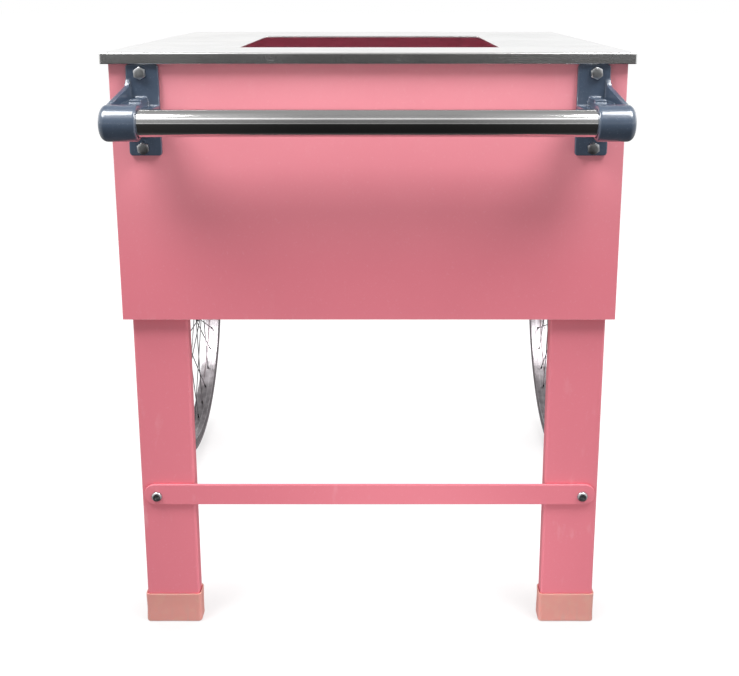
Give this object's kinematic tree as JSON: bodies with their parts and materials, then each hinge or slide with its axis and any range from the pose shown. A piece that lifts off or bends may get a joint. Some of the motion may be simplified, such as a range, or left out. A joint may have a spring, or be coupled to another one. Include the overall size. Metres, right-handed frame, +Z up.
{
  "type": "push cart",
  "caption": "Push cart with a stainless top that has a rectangular cut-out, a sheet steel cabinet, a round push handle, two spoked wheels and two legs.",
  "frame": {"origin": "on the floor under the middle of the cart's overall box", "axes": "+Z up, handle end faces -Y, the wheels' end is +Y, +X to the right seen from the handle end"},
  "size_m": [0.9012, 1.0904, 0.92],
  "materials": {
    "stainless_top": "satin brushed stainless sheet",
    "pink_paint": "semi-gloss pink enamel",
    "polished_steel": "polished tube",
    "grey_enamel": "blue-grey glossy enamel on a casting",
    "zinc_plate": "bright zinc plate",
    "vinyl": "soft translucent tan-pink vinyl",
    "packer_plastic": "matt black plastic",
    "tyre_rubber": "solid grey rubber",
    "wheel_steel": "plated rim, spokes and hub",
    "axle_steel": "plain turned steel"
  },
  "bodies": {
    "cart": {"countertop": "stainless_top", "front_panel": "pink_paint", "rear_panel": "pink_paint", "left_side_panel": "pink_paint", "right_side_panel": "pink_paint", "floor_panel": "pink_paint", "top_front_rail": "pink_paint", "top_rear_rail": "pink_paint", "top_left_rail": "pink_paint", "top_right_rail": "pink_paint", "floor_front_rail": "pink_paint", "floor_rear_rail": "pink_paint", "floor_left_rail": "pink_paint", "floor_right_rail": "pink_paint", "leg_crossbar": "pink_paint", "handle_bar": "polished_steel", "axle": "axle_steel", "left_rear_post": "pink_paint", "left_leg": "pink_paint", "left_boot": "vinyl", "left_crossbar_bolt": "zinc_plate", "left_crossbar_nut": "zinc_plate", "left_handle_bracket": "grey_enamel", "left_bracket_packer": "packer_plastic", "left_bracket_upper_bolt": "zinc_plate", "left_bracket_upper_nut": "zinc_plate", "left_bracket_lower_bolt": "zinc_plate", "left_bracket_lower_nut": "zinc_plate", "left_axle_bracket": "pink_paint", "left_axle_bracket_front_bolt": "zinc_plate", "left_axle_bracket_rear_bolt": "zinc_plate", "left_axle_spacer": "axle_steel", "left_axle_nut": "zinc_plate", "right_rear_post": "pink_paint", "right_leg": "pink_paint", "right_boot": "vinyl", "right_crossbar_bolt": "zinc_plate", "right_crossbar_nut": "zinc_plate", "right_handle_bracket": "grey_enamel", "right_bracket_packer": "packer_plastic", "right_bracket_upper_bolt": "zinc_plate", "right_bracket_upper_nut": "zinc_plate", "right_bracket_lower_bolt": "zinc_plate", "right_bracket_lower_nut": "zinc_plate", "right_axle_bracket": "pink_paint", "right_axle_bracket_front_bolt": "zinc_plate", "right_axle_bracket_rear_bolt": "zinc_plate", "right_axle_spacer": "axle_steel", "right_axle_nut": "zinc_plate"},
    "left_wheel": {"left_tyre": "tyre_rubber", "left_rim": "wheel_steel", "left_hub_and_spokes": "wheel_steel", "left_inner_bearing": "axle_steel", "left_outer_bearing": "axle_steel"},
    "right_wheel": {"right_tyre": "tyre_rubber", "right_rim": "wheel_steel", "right_hub_and_spokes": "wheel_steel", "right_inner_bearing": "axle_steel", "right_outer_bearing": "axle_steel"}
  },
  "joints": [
    {"name": "left_wheel_spin", "type": "hinge", "parent": "cart", "child": "left_wheel", "pos_m": [-0.408, 0.2152, 0.33], "axis": [1, 0, 0], "continuous": true},
    {"name": "right_wheel_spin", "type": "hinge", "parent": "cart", "child": "right_wheel", "pos_m": [0.408, 0.2152, 0.33], "axis": [1, 0, 0], "continuous": true}
  ]
}
